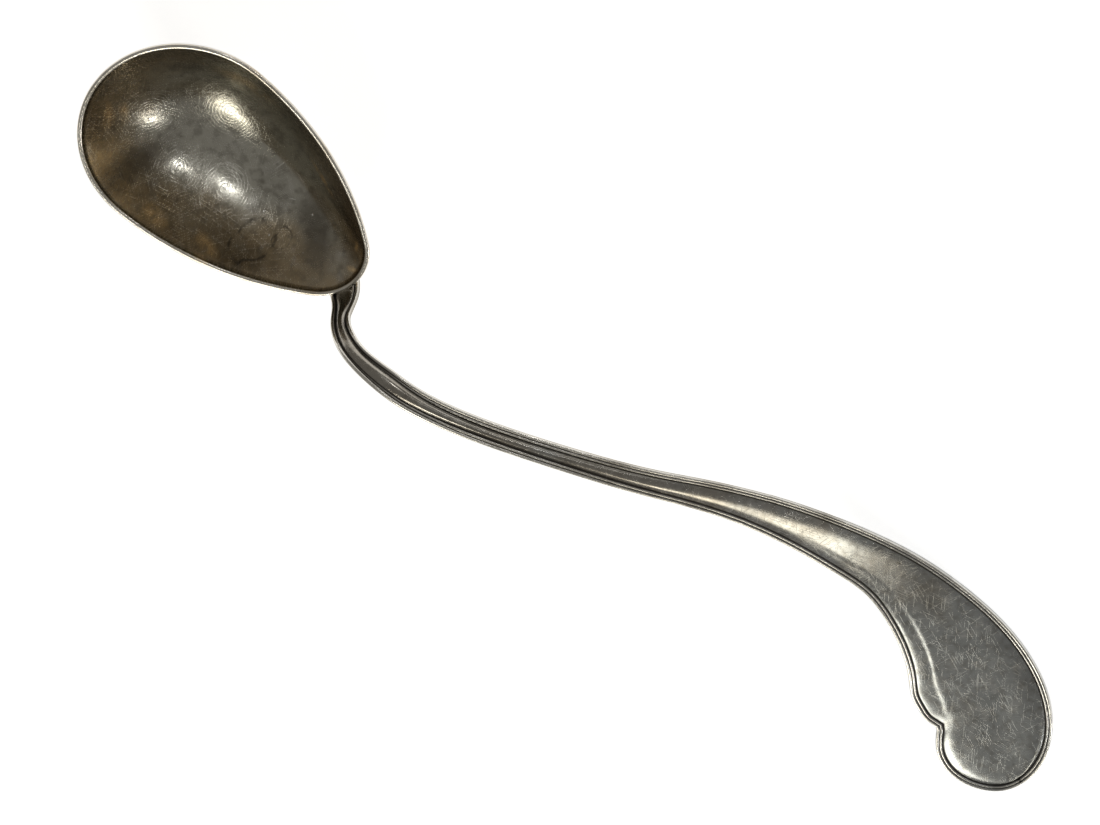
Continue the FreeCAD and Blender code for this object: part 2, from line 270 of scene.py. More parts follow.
@dataclass
class Bowl:
    """Egg-shaped bowl with a rounded bead along its rim. Sizes in mm, angles in degrees.

    blunt_share and flank_share say how many of the corners lie on the blunt end and the flanks.
    """

    length: float = 88.4
    width: float = 57.8
    depth: float = 26.0
    tip_radius: float = 13.5
    deepest: float = 40.0
    fullness: float = 2.2
    lean: float = 6.0
    heading: float = -1.7
    wall: float = 1.2
    bead: float = 0.75
    bead_angles: tuple = (205.0, -50.0)
    bead_rows: int = 15
    rub_lean: float = 12.0
    # Painted shade darkens the bead once it leans down past this share.
    underside_shade_from: float = 0.15
    corners: int = 176
    blunt_share: float = 0.42
    flank_share: float = 0.34
    levels: int = 34
    crowding: float = 0.25

    def __post_init__(self) -> None:
        """Works out how the bowl stands."""
        lean = math.radians(self.lean)
        share = np.linspace(-1.0, 1.0, 401)
        behind = self.deepest + self.wall
        ahead = self.length - self.deepest + self.wall
        along = self.deepest - self.length / 2.0 + share * np.where(share < 0, behind, ahead)
        down = (self.depth + self.wall) * (1.0 - np.abs(share) ** self.fullness)
        self.rim_height = float(np.max(down * math.cos(lean) + along * math.sin(lean)))
        turn = Matrix.Rotation(math.radians(self.heading), 3, "Z")
        turn = turn @ Matrix.Rotation(lean, 3, "Y")
        self.turn = np.array(turn)
        self.base = RIM_MIDDLE + np.array([0.0, 0.0, self.rim_height])
        self.tip = self.to_frame(np.array([self.length / 2.0, 0.0, 0.0]))

    @property
    def deepest_x(self) -> float:
        """Place of the deepest point along the bowl's own axis."""
        return self.deepest - self.length / 2.0

    def to_frame(self, points: np.ndarray) -> np.ndarray:
        """Places in the frame of points given over the bowl's own rim plane."""
        return points @ self.turn.T + self.base

    def to_bowl(self, points: np.ndarray) -> np.ndarray:
        """Places over the bowl's own rim plane of points given in the frame."""
        return (points - self.base) @ self.turn

    def egg(self, grow: float) -> np.ndarray:
        """Outline of tangent arcs: a half circle, two flanks and the tip.

        Args:
            grow: distance outside the inner rim line.

        Returns:
            Corners of the outline, in the rim plane.
        """
        half = self.width / 2.0 + grow
        tip = self.tip_radius + grow
        widest_x = -self.length / 2.0 - grow + half
        tip_x = self.length / 2.0 + grow - tip
        run = tip_x - widest_x
        flank = (run**2 + half**2 - tip**2) / (2.0 * (half - tip))
        drop = flank - half
        touch = math.atan2(drop, run)
        half_count = self.corners // 2
        blunt_count = int(half_count * self.blunt_share)
        flank_count = int(half_count * self.flank_share)
        tip_count = half_count - blunt_count - flank_count
        blunt = np.linspace(math.pi, math.pi / 2.0, blunt_count, endpoint=False)
        side = np.linspace(math.pi / 2.0, touch, flank_count, endpoint=False)
        end = np.linspace(touch, 0.0, tip_count, endpoint=False)
        arcs = [(widest_x, 0.0, half, blunt), (widest_x, -drop, flank, side), (tip_x, 0.0, tip, end)]
        upper = np.concatenate(
            [np.stack([x + r * np.cos(a), y + r * np.sin(a)], 1) for x, y, r, a in arcs]
        )
        tip_point = np.array([[tip_x + tip, 0.0]])
        lower = upper[1:][::-1] * np.array([1.0, -1.0])
        return np.concatenate([upper, tip_point, lower])

    def ring(self, level: float, grow: float, height: float) -> np.ndarray:
        """A ring of the bowl.

        Args:
            level: size of the ring as a share of the rim, drawn in towards the deepest point.
            grow: distance outside the inner rim line.
            height: height over the rim plane.

        Returns:
            Its corners in the frame.
        """
        plan = self.egg(grow)
        plan = (plan - [self.deepest_x, 0.0]) * level + [self.deepest_x, 0.0]
        return self.to_frame(np.column_stack([plan, np.full(len(plan), height)]))

    def wall_rings(self, grow: float, depth: float) -> list[Ring]:
        """Rings of the inner or the outer wall, from the bottom up to the rim.

        Args:
            grow: distance outside the inner rim line.
            depth: depth of this side of the wall below the rim plane.

        Returns:
            The rings.
        """
        rings = []
        for level in np.linspace(0.0, 1.0, self.levels + 1)[1:]:
            eased = level * (1.0 + self.crowding - self.crowding * level)
            places = self.ring(eased, grow, -depth * (1.0 - eased**self.fullness))
            rings.append(plain_ring(places, 0.0, 0.0, eased))
        return rings

    def bead_rings(self) -> list[Ring]:
        """Rings over the rounded rim, from the inner wall to the outer one.

        Returns:
            The rings.
        """
        middle = self.wall / 2.0
        rings = []
        start, end = (math.radians(angle) for angle in self.bead_angles)
        for angle in np.linspace(start, end, self.bead_rows):
            grow = middle + self.bead * math.cos(angle)
            places = self.ring(1.0, grow, self.bead * math.sin(angle))
            top = max(math.sin(angle + math.radians(self.rub_lean)), 0.0)
            # Painted shade: the bead darkens where it turns down under the rim, inside and outside.
            underside_shade = max(-math.sin(angle) - self.underside_shade_from, 0.0)
            rings.append(plain_ring(places, top**0.5, underside_shade, 1.0))
        return rings

    def build(self) -> bpy.types.Object:
        """Models the bowl as one closed wall.

        Returns:
            The finished piece.
        """
        inner = self.wall_rings(0.0, self.depth)
        outer = self.wall_rings(self.wall, self.depth + self.wall)
        rings = inner[:-1] + self.bead_rings() + outer[:-1][::-1]
        piece = open_ring("bowl", len(inner[0].places))
        extrude_through(piece, rings)
        self.close_end(inner[0].places)
        self.close_end(outer[0].places)
        close_piece()
        return piece

    def close_end(self, ring: np.ndarray) -> None:
        """Closes the small hole that a ring leaves at the bottom.

        Args:
            ring: the ring's corners, in the frame.
        """
        bpy.ops.mesh.select_all(action="DESELECT")
        mesh = bmesh.from_edit_mesh(bpy.context.edit_object.data)
        low, high = ring.min(0) * MM - 1e-6, ring.max(0) * MM + 1e-6
        for corner in mesh.verts:
            if all(low[k] <= corner.co[k] <= high[k] for k in range(3)):
                corner.select = True
        mesh.select_flush(True)
        bmesh.update_edit_mesh(bpy.context.edit_object.data)
        bpy.ops.mesh.edge_face_add()
        bpy.ops.mesh.poke()

    def keep_out(self, points: np.ndarray) -> np.ndarray:
        """Moves points that stand in the hollow out into the wall.

        Args:
            points: places in the frame.

        Returns:
            The same points, none of them in the hollow.
        """
        local = self.to_bowl(points)
        outline = self.egg(0.0) - [self.deepest_x, 0.0]
        angles = np.arctan2(outline[:, 1], outline[:, 0])
        order = np.argsort(angles)
        reach = np.linalg.norm(outline, axis=1)[order]
        plan = local[:, :2] - [self.deepest_x, 0.0]
        here = np.arctan2(plan[:, 1], plan[:, 0])
        limit = np.interp(here, angles[order], reach, period=2.0 * math.pi)
        away = np.linalg.norm(plan, axis=1)
        deep = np.clip(1.0 + local[:, 2] / self.depth, 0.0, 1.0)
        edge = limit * deep ** (1.0 / self.fullness) + 0.5 * self.wall
        rim_slack = 0.3
        inside = (local[:, 2] < rim_slack) & (away < edge)
        factor = np.where(inside, edge / np.maximum(away, 1e-9), 1.0)
        local[:, :2] = plan * factor[:, None] + [self.deepest_x, 0.0]
        return self.to_frame(local)


@dataclass
class Spine:
    """Line that the stem and the plate follow. Sizes in mm, as in the solid."""

    rim_tip: np.ndarray
    stem_reach: float = 128.0
    stem_sway: float = 27.5
    neck_rise: float = 29.3
    stem_width: float = 7.2
    stem_thickness: float = 3.4
    plate_length: float = 126.5
    plate_width: float = 44.0
    plate_thickness: float = 1.25
    halvings: int = 36
    neck: tuple = (
        (-0.050, -0.09, -0.320, 14, 1.45, 0.55),
        (0.010, -0.17, 0.020, 24, 1.24, 0.85),
        (0.024, -0.21, 0.350, 32, 0.83, 1.00),
        (0.046, -0.20, 0.620, 34, 0.85, 1.00),
        (0.091, -0.15, 0.845, 34, 0.92, 1.00),
        (0.163, -0.075, 0.980, 32, 1.03, 0.97),
        (0.249, -0.01, 1.000, 30, 1.01, 0.92),
    )
    fall: tuple = (
        (0.379, 0.15, 0.960, 25, 1.00, 0.86),
        (0.554, 0.39, 0.845, 19, 1.05, 0.78),
        (0.729, 0.63, 0.690, 14, 1.20, 0.68),
        (0.860, 0.83, 0.553, 10, 1.42, 0.60),
        (1.000, 1.00, 0.407, 7, 1.72, 0.53),
    )
    plate: tuple = (
        (0.133, 0.064, 0.280, 5, 0.330),
        (0.244, 0.095, 0.183, 3, 0.416),
        (0.355, 0.100, 0.112, 2, 0.550),
        (0.473, 0.052, 0.060, 0, 0.750),
        (0.615, -0.061, 0.023, 0, 0.950),
        (0.733, -0.164, 0.008, 0, 1.000),
        (0.868, -0.300, 0.008, 0, 1.000),
        (1.050, -0.460, 0.011, 0, 1.000),
    )

    def __post_init__(self) -> None:
        """Fits the splines through the stations."""
        tip = self.rim_tip
        top = tip[2] + self.neck_rise
        points = []
        for reach, sway, climb, _, _, _ in self.neck:
            points.append(tip + [reach * self.stem_reach, sway * self.stem_sway, climb * self.neck_rise])
        for reach, sway, fall, _, _, _ in self.fall:
            height = self.plate_thickness + fall * (top - self.plate_thickness)
            points.append([tip[0] + reach * self.stem_reach, tip[1] + sway * self.stem_sway, height])
        for reach, sway, fall, _, _ in self.plate:
            height = self.plate_thickness + fall * (top - self.plate_thickness)
            points.append([*self.plate_point(reach, sway), height])
        points = np.array(points)
        self.fits = [NaturalFit(points[:, k]) for k in range(3)]
        stations = self.neck + self.fall
        self.roll = NaturalFit([s[3] for s in stations + self.plate])
        self.last_stem = len(stations) - 1
        self.last = len(points) - 1
        self.width = NaturalFit([math.log(s[4] * self.stem_width) for s in stations])
        backs = [s[5] * self.stem_thickness for s in stations]
        self.back = NaturalFit(backs + [self.plate_thickness] * len(self.plate))

    def plate_point(self, reach: float, sway: float) -> tuple[float, float]:
        """Plan place of a point given as shares of the plate.

        Args:
            reach: share of the plate's length.
            sway: share of the plate's width.

        Returns:
            x and y in the frame.
        """
        return (
            self.rim_tip[0] + self.stem_reach + reach * self.plate_length,
            self.rim_tip[1] + self.stem_sway + sway * self.plate_width,
        )

    def point(self, at: np.ndarray) -> np.ndarray:
        """Points on the spine.

        Args:
            at: station numbers.

        Returns:
            Rows of places in the frame.
        """
        return np.stack([fit(at) for fit in self.fits], -1)

    def directions(self, at: np.ndarray) -> tuple[np.ndarray, np.ndarray]:
        """Directions across the face and out of it.

        Args:
            at: station numbers.

        Returns:
            The directions across, and the face's normals.
        """
        step = 0.01
        way = self.point(at + step) - self.point(at - step)
        slope = np.arctan2(way[:, 2], way[:, 0])
        roll = np.radians(self.roll(at))[:, None]
        zero = np.zeros_like(slope)
        upright = np.stack([-np.sin(slope), zero, np.cos(slope)], -1)
        side = np.array([0.0, 1.0, 0.0])
        across = side * np.cos(roll) - upright * np.sin(roll)
        normal = upright * np.cos(roll) + side * np.sin(roll)
        return across, normal

    def station_of(self, x: np.ndarray) -> np.ndarray:
        """Station numbers where the spine passes over plan places, by halving.

        Args:
            x: the places' x in the frame.

        Returns:
            One station number for each.
        """
        low = np.full(len(x), self.last_stem - 3.0)
        high = np.full(len(x), self.last + 0.5)
        for _ in range(self.halvings):
            middle = (low + high) / 2.0
            before = self.fits[0](middle) < x
            low = np.where(before, middle, low)
            high = np.where(before, high, middle)
        return (low + high) / 2.0


@dataclass
class Border:
    """Threaded border of the handle: an outer bead, a fine groove, an inner bead and a deep groove.

    Each row is a corner of its section: distance in from the outline, and height over the
    spine's surface, in mm, from the underside to the edge of the field.
    """

    plate: tuple = (
        (0.42, -1.25), (0.22, -1.21), (0.08, -1.06), (0.01, -0.78), (0.00, -0.45), (0.02, -0.12),
        (0.09, 0.15), (0.21, 0.37), (0.38, 0.52), (0.58, 0.58), (0.78, 0.55), (0.96, 0.44),
        (1.08, 0.29), (1.16, 0.22), (1.24, 0.28), (1.35, 0.40), (1.52, 0.48), (1.70, 0.46),
        (1.86, 0.34), (1.97, 0.15), (2.06, -0.02), (2.18, -0.07), (2.30, -0.01), (2.42, 0.10),
        (2.58, 0.18),
    )
    neck: tuple = (
        (0.42, -0.60), (0.22, -0.57), (0.08, -0.47), (0.01, -0.32), (0.00, -0.16), (0.02, 0.02),
        (0.09, 0.25), (0.21, 0.46), (0.38, 0.61), (0.60, 0.69), (0.84, 0.67), (1.04, 0.56),
        (1.18, 0.38), (1.27, 0.20), (1.33, 0.10), (1.38, 0.05), (1.43, 0.03), (1.48, 0.03),
        (1.53, 0.04), (1.58, 0.07), (1.63, 0.12), (1.69, 0.19), (1.76, 0.27), (1.84, 0.35),
        (1.93, 0.42),
    )

    plate_wear: tuple = (
        0.0, 0.0, 0.0, 0.0, 0.1, 0.3, 0.6, 0.9, 1.0, 1.0, 0.8, 0.4, 0.0, 0.0, 0.1, 0.6, 0.9, 0.8,
        0.4, 0.0, 0.0, 0.0, 0.0, 0.0, 0.0,
    )
    # The first corners, under the edge, hold painted shade; the grooves hold dark tarnish.
    plate_grime_and_shade: tuple = (
        0.3, 0.2, 0.1, 0.0, 0.0, 0.0, 0.0, 0.0, 0.0, 0.0, 0.0, 0.3, 0.9, 1.0, 0.9, 0.2, 0.0, 0.0,
        0.3, 0.8, 1.0, 1.0, 1.0, 0.6, 0.2,
    )
    neck_wear: tuple = (
        0.0, 0.0, 0.0, 0.0, 0.0, 0.1, 0.4, 0.8, 1.0, 1.0, 0.7, 0.3, 0.0, 0.0, 0.0, 0.0, 0.0, 0.0,
        0.0, 0.0, 0.0, 0.0, 0.1, 0.3, 0.4,
    )
    # The first corners, under the edge, hold painted shade; the grooves hold dark tarnish.
    neck_grime_and_shade: tuple = (
        0.3, 0.2, 0.1, 0.0, 0.0, 0.0, 0.0, 0.0, 0.0, 0.0, 0.0, 0.2, 0.6, 0.9, 1.0, 1.0, 1.0, 1.0,
        1.0, 1.0, 0.9, 0.7, 0.4, 0.2, 0.1,
    )

    def finish(self, share: np.ndarray) -> tuple[np.ndarray, np.ndarray]:
        """Wear and grime between the neck's and the plate's.

        Args:
            share: 0 for the neck's section, 1 for the plate's.

        Returns:
            Wear, and darkening from tarnish and painted shade, of each corner, one row for each share.
        """
        # The darkening is tarnish in the grooves and painted shade under the edge.
        share = np.asarray(share, float)[:, None]
        wear = np.array(self.neck_wear) * (1.0 - share) + np.array(self.plate_wear) * share
        grime_and_shade = np.array(self.neck_grime_and_shade) * (1.0 - share) + np.array(self.plate_grime_and_shade) * share
        return wear, grime_and_shade

    def section(self, share: np.ndarray) -> tuple[np.ndarray, np.ndarray]:
        """Sections between the neck's and the plate's.

        Args:
            share: 0 for the neck's section, 1 for the plate's.

        Returns:
            Distances in and heights, one row for each share.
        """
        plate, neck = np.array(self.plate), np.array(self.neck)
        share = np.asarray(share, float)[:, None]
        distance = neck[None, :, 0] + share * (plate[None, :, 0] - neck[None, :, 0])
        height = neck[None, :, 1] + share * (plate[None, :, 1] - neck[None, :, 1])
        return distance, height


def smooth_step(value: np.ndarray, start: float, end: float) -> np.ndarray:
    """0 before start, 1 after end and an eased rise between them."""
    share = np.clip((np.asarray(value, float) - start) / (end - start), 0.0, 1.0)
    return share * share * (3.0 - 2.0 * share)


def chord_curve(points: np.ndarray, count: int) -> np.ndarray:
    """A smooth curve through points, at even steps along its length.

    Args:
        points: rows of places.
        count: how many places to return.

    Returns:
        Places along the curve, both ends among them.
    """
    steps = np.linalg.norm(np.diff(points, axis=0), axis=1)
    knots = np.concatenate([[0.0], np.cumsum(steps)])
    fine = np.linspace(0.0, knots[-1], CURVE_SAMPLES)
    curve = np.stack([ChordFit(knots, points[:, k])(fine) for k in range(points.shape[1])], 1)
    lengths = np.concatenate([[0.0], np.cumsum(np.linalg.norm(np.diff(curve, axis=0), axis=1))])
    wanted = np.linspace(0.0, lengths[-1], count)
    return np.stack([np.interp(wanted, lengths, curve[:, k]) for k in range(points.shape[1])], 1)


@dataclass
class EdgePath:
    """One edge of the handle as rows of places, directions inwards and face normals."""

    places: np.ndarray
    inwards: np.ndarray
    normals: np.ndarray


@dataclass
class Handle:
    """Stem and plate in one piece, with a threaded border round the face. Sizes in mm.

    The crown rows say how high and how square the face rises at crown_stations. The ridge rows
    say how far across the face the soft ridge lies, from -1 at the outer edge to 1, and it comes
    and goes at the stations of ridge_ramp. The neck's border gives way to the stem's within
    neck_stations, and the stem's side to the plate's within plate_run stations.
    """

    spine: Spine
    bowl: Bowl
    border: Border = field(default_factory=Border)
    crown_stations: tuple = (0.0, 7.0, 9.5, 11.5, 13.0, 14.5, 17.0, 17.6, 20.0)
    crown_height: tuple = (0.55, 0.55, 0.55, 0.58, 0.52, 0.38, 0.38, 0.54, 0.54)
    crown_power: tuple = (2.3, 2.3, 2.2, 2.4, 3.5, 8.0, 8.0, 9.0, 9.0)
    ridge_stations: tuple = (11.1, 11.9, 12.75, 13.4, 14.0, 14.7, 15.6, 16.0, 16.8, 17.2, 18.0)
    ridge_places: tuple = (0.40, 0.41, 0.48, 0.48, 0.50, 0.50, 0.54, 0.55, 0.67, 0.84, 1.05)
    ridge_ramp: tuple = (11.5, 13.5, 16.9, 17.3)
    ridge_drop: float = 0.15
    ridge_width: float = 1.9
    full_crown_width: float = 14.0
    neck_stations: tuple = (3.2, 7.5)
    plate_run: float = 3.0
    stem_side: float = 0.60
    side_top: float = -0.15
    cap_scales: tuple = (0.3, 0.75, 0.94)
    field_cells: int = 52
    rings_in_bowl: int = 40
    stem_rings: int = 250
    notched_rings: int = 112
    lobe_rings: int = 58
    outer_edge: tuple = (
        (0.244, 0.287), (0.400, 0.350), (0.545, 0.368), (0.705, 0.324), (0.865, 0.157),
        (0.962, -0.095), (1.000, -0.380), (0.987, -0.584), (0.931, -0.727), (0.852, -0.764),
        (0.788, -0.684), (0.751, -0.566),
    )
    notched_edge: tuple = (
        (0.168, -0.105), (0.262, -0.102), (0.355, -0.105), (0.445, -0.172), (0.528, -0.274),
        (0.607, -0.420), (0.646, -0.507), (0.681, -0.550), (0.718, -0.577), (0.751, -0.566),
    )
    end_place: tuple = (1.0, -0.46)

    def stem_stations(self) -> np.ndarray:
        """Station numbers of the stem's rings, at even steps along the spine.

        Returns:
            The station numbers, rising.
        """
        fine = np.linspace(0.0, self.spine.last_stem, SPINE_SAMPLES)
        points = self.spine.point(fine)
        lengths = np.concatenate([[0.0], np.cumsum(np.linalg.norm(np.diff(points, axis=0), axis=1))])
        return np.interp(np.linspace(0.0, lengths[-1], self.stem_rings), lengths, fine)

    def stem_edge(self, at: np.ndarray, side: Side) -> np.ndarray:
        """The stem's edge.

        Args:
            at: station numbers.
            side: which edge.

        Returns:
            Rows of places in the frame.
        """
        across, _ = self.spine.directions(at)
        half = np.exp(self.spine.width(at))[:, None] / 2.0
        return self.spine.point(at) + across * half * side.value

    def on_surface(self, plan: np.ndarray) -> tuple[np.ndarray, np.ndarray]:
        """Lifts plan places to the surface through the spine.

        Args:
            plan: rows of x and y.

        Returns:
            Places in the frame, and station numbers.
        """
        at = self.spine.station_of(plan[:, 0])
        centre = self.spine.point(at)
        across, _ = self.spine.directions(at)
        out = (plan[:, 1] - centre[:, 1]) / across[:, 1]
        return centre + across * out[:, None], at

    def plate_outline(self) -> tuple[np.ndarray, np.ndarray, np.ndarray]:
        """Plan outline of the plate from the stem to its end.

        Returns:
            The outer edge, the notched edge up to the notch, and the lobe from the notch.
        """
        joint = np.array([self.spine.last_stem - 2.0, self.spine.last_stem - 1.0, self.spine.last_stem])
        curves = {}
        for side, shares in ((Side.OUTER, self.outer_edge), (Side.NOTCHED, self.notched_edge)):
            lead = self.stem_edge(joint, side)[:, :2]
            points = np.array([self.spine.plate_point(*share) for share in shares])
            curve = chord_curve(np.concatenate([lead, points]), OUTLINE_SAMPLES)
            start = np.argmin(np.linalg.norm(curve - lead[-1], axis=1))
            curves[side] = curve[start:]
        outer = curves[Side.OUTER]
        end = np.argmin(np.linalg.norm(outer - self.spine.plate_point(*self.end_place), axis=1))
        count = self.notched_rings + self.lobe_rings + 1
        notched = chord_curve(curves[Side.NOTCHED][::OUTLINE_THINNING], self.notched_rings + 1)
        lobe = chord_curve(outer[end:][::-1], self.lobe_rings + 1)
        return chord_curve(outer[: end + 1], count), notched, lobe

    def edge_path(
        self, pieces: Sequence[np.ndarray], normals: Sequence[np.ndarray], side: Side
    ) -> EdgePath:
        """Joins pieces of an edge, with a mitre where they meet at an angle.

        Args:
            pieces: places of each smooth piece, the last of one the first of the next.
            normals: face normals at those places.
            side: which edge.

        Returns:
            The whole edge.
        """
        inwards = []
        for places, out in zip(pieces, normals):
            along = unit(np.gradient(places, axis=0))
            inwards.append(unit(np.cross(out, along)) * -side.value)
        places, joined, faces = pieces[0], inwards[0], normals[0]
        for i in range(1, len(pieces)):
            before, after = joined[-1], inwards[i][0]
            mitre = (before + after) / (1.0 + float(np.dot(before, after)))
            joined = np.concatenate([joined[:-1], [mitre], inwards[i][1:]])
            places = np.concatenate([places, pieces[i][1:]])
            faces = np.concatenate([faces, normals[i][1:]])
        return EdgePath(places, joined, faces)

    def edges(self) -> tuple[EdgePath, EdgePath, np.ndarray]:
        """Both edges of the handle, ring by ring.

        Returns:
            The outer edge, the notched edge and the rings' station numbers.
        """
        stem_at = self.stem_stations()
        _, stem_normal = self.spine.directions(stem_at)
        outer, notched, lobe = self.plate_outline()
        lifted = [self.on_surface(plan) for plan in (outer, notched, lobe)]
        normals = [self.spine.directions(at)[1] for _, at in lifted]
        paths = []
        for side, parts in ((Side.OUTER, (0,)), (Side.NOTCHED, (1, 2))):
            first = lifted[parts[0]][0]
            stem = self.stem_edge(stem_at[:-1], side)
            pieces = [np.concatenate([stem, first])]
            faces = [np.concatenate([stem_normal[:-1], normals[parts[0]]])]
            for k in parts[1:]:
                pieces.append(lifted[k][0])
                faces.append(normals[k])
            paths.append(self.edge_path(pieces, faces, side))
        at = np.concatenate([stem_at[:-1], lifted[0][1]])
        return paths[0], paths[1], at

    def strip(self, path: EdgePath, share: np.ndarray, under: np.ndarray) -> np.ndarray:
        """The border's corners along one edge.

        Args:
            path: the edge.
            share: 0 to 1, from the neck's section to the plate's, for each ring.
            under: depth of the side's lower edge for each ring.

        Returns:
            Places by ring and corner.
        """
        distance, height = self.border.section(share)
        base = -height[:, :1]
        lower = np.minimum(height, 0.0)
        height = np.where(height < self.side_top, lower * (under[:, None] / base), height)
        return (
            path.places[:, None]
            + path.inwards[:, None] * distance[..., None]
            + path.normals[:, None] * height[..., None]
        )

    def dome(self, at: np.ndarray, cells: np.ndarray, left: np.ndarray, right: np.ndarray) -> np.ndarray:
        """Rise of the face over its border, with a soft ridge that runs down to the notch.

        Args:
            at: station numbers of the rings.
            cells: places across the face, -1 at the outer edge and 1 at the notched one.
            left: where each ring's face starts at the outer edge.
            right: where it ends at the notched edge.

        Returns:
            Heights by ring and cell.
        """
        width = np.linalg.norm(left - right, axis=1)
        height = np.interp(at, self.crown_stations, self.crown_height)[:, None]
        power = np.interp(at, self.crown_stations, self.crown_power)[:, None]
        ridge = np.interp(at, self.ridge_stations, self.ridge_places)[:, None]
        drop = np.interp(at, self.ridge_ramp, (0.0, self.ridge_drop, self.ridge_drop, 0.0))
        beyond = (cells[None, :] - ridge) * width[:, None] / (2.0 * self.ridge_width)
        height = height - drop[:, None] * smooth_step(beyond, -0.5, 0.5)
        narrow = np.clip(width / self.full_crown_width, 0.0, 1.0) ** 0.5
        narrow = np.where(at > self.spine.last_stem + self.plate_run, narrow, 1.0)
        return height * narrow[:, None] * (1.0 - np.abs(cells[None, :]) ** power)

    def rings(self) -> list[Ring]:
        """Closed rings of the handle, from the bowl to the end of the plate.

        Returns:
            The rings.
        """
        outer, notched, at = self.edges()
        neck_share = smooth_step(at, *self.neck_stations)
        plate_share = np.clip((at - self.spine.last_stem) / self.plate_run, 0.0, 1.0)
        thick = self.spine.back(np.minimum(at, self.spine.last - 1.0))
        under = self.stem_side + plate_share * (self.spine.plate_thickness - self.stem_side)
        left = self.strip(outer, neck_share, under)
        right = self.strip(notched, neck_share, under)
        cells = np.linspace(-1.0, 1.0, self.field_cells + 1)
        cells = np.sin(cells * math.pi / 2.0)[1:-1] * 0.5 + cells[1:-1] * 0.5
        normal = unit(outer.normals + notched.normals)
        share = (cells + 1.0) / 2.0
        face = left[:, -1, None] + (right[:, -1, None] - left[:, -1, None]) * share[None, :, None]
        face = face + normal[:, None] * self.dome(at, cells, left[:, -1], right[:, -1])[..., None]
        back = right[:, 0, None] + (left[:, 0, None] - right[:, 0, None]) * share[None, :, None]
        hang = (1.0 - cells**2)[None, :] * (thick - under)[:, None]
        back = back - normal[:, None] * hang[..., None]
        places = np.concatenate([left, face, right[:, ::-1], back], axis=1)
        start = places[: self.rings_in_bowl]
        places[: self.rings_in_bowl] = [self.bowl.keep_out(ring) for ring in start]
        edge_wear, edge_grime_and_shade = self.border.finish(neck_share)
        plain = np.zeros((len(at), len(cells)))
        wear = np.concatenate([edge_wear, plain, edge_wear[:, ::-1], plain], axis=1)
        grime_and_shade = np.concatenate([edge_grime_and_shade, plain, edge_grime_and_shade[:, ::-1], plain], axis=1)
        zone = (at / self.spine.last)[:, None] * np.ones_like(wear)
        return [Ring(*parts) for parts in zip(places, wear, grime_and_shade, zone)]

    def build(self) -> bpy.types.Object:
        """Models the handle as one closed form.

        Returns:
            The finished piece.
        """
        rings = self.rings()
        first = rings[0].places
        middle = first.mean(0)
        cap = [
            plain_ring(middle + (first - middle) * scale, 0.0, 0.4, 0.0) for scale in self.cap_scales
        ]
        piece = open_ring("handle", len(first))
        extrude_through(piece, cap + rings)
        mesh = bmesh.from_edit_mesh(piece.data)
        mesh.verts.ensure_lookup_table()
        for corner in mesh.verts:
            corner.select = False
        for corner in mesh.verts[: len(first)]:
            corner.select = True
        mesh.select_flush(True)
        bmesh.update_edit_mesh(piece.data)
        bpy.ops.mesh.edge_face_add()
        close_piece()
        return piece


class MarkKind(Enum):
    """What a single mark on the silver is."""

    STAIN = "dark stain"
    # Painted reflection: a warm golden glint of the lamps, drawn into the colour.
    GOLD_REFLECTION = "painted golden reflection"
    SCRATCH = "bright scratch"
    OUTLINE = "edge of a dried drop"


@dataclass(frozen=True)
class Mark:
    """One mark on the silver, seen from above. Sizes in mm.

    reach holds the half length and the half width, and share is how strong the mark is.
    """

    kind: MarkKind
    x: float
    y: float
    angle: float
    reach: tuple
    share: float


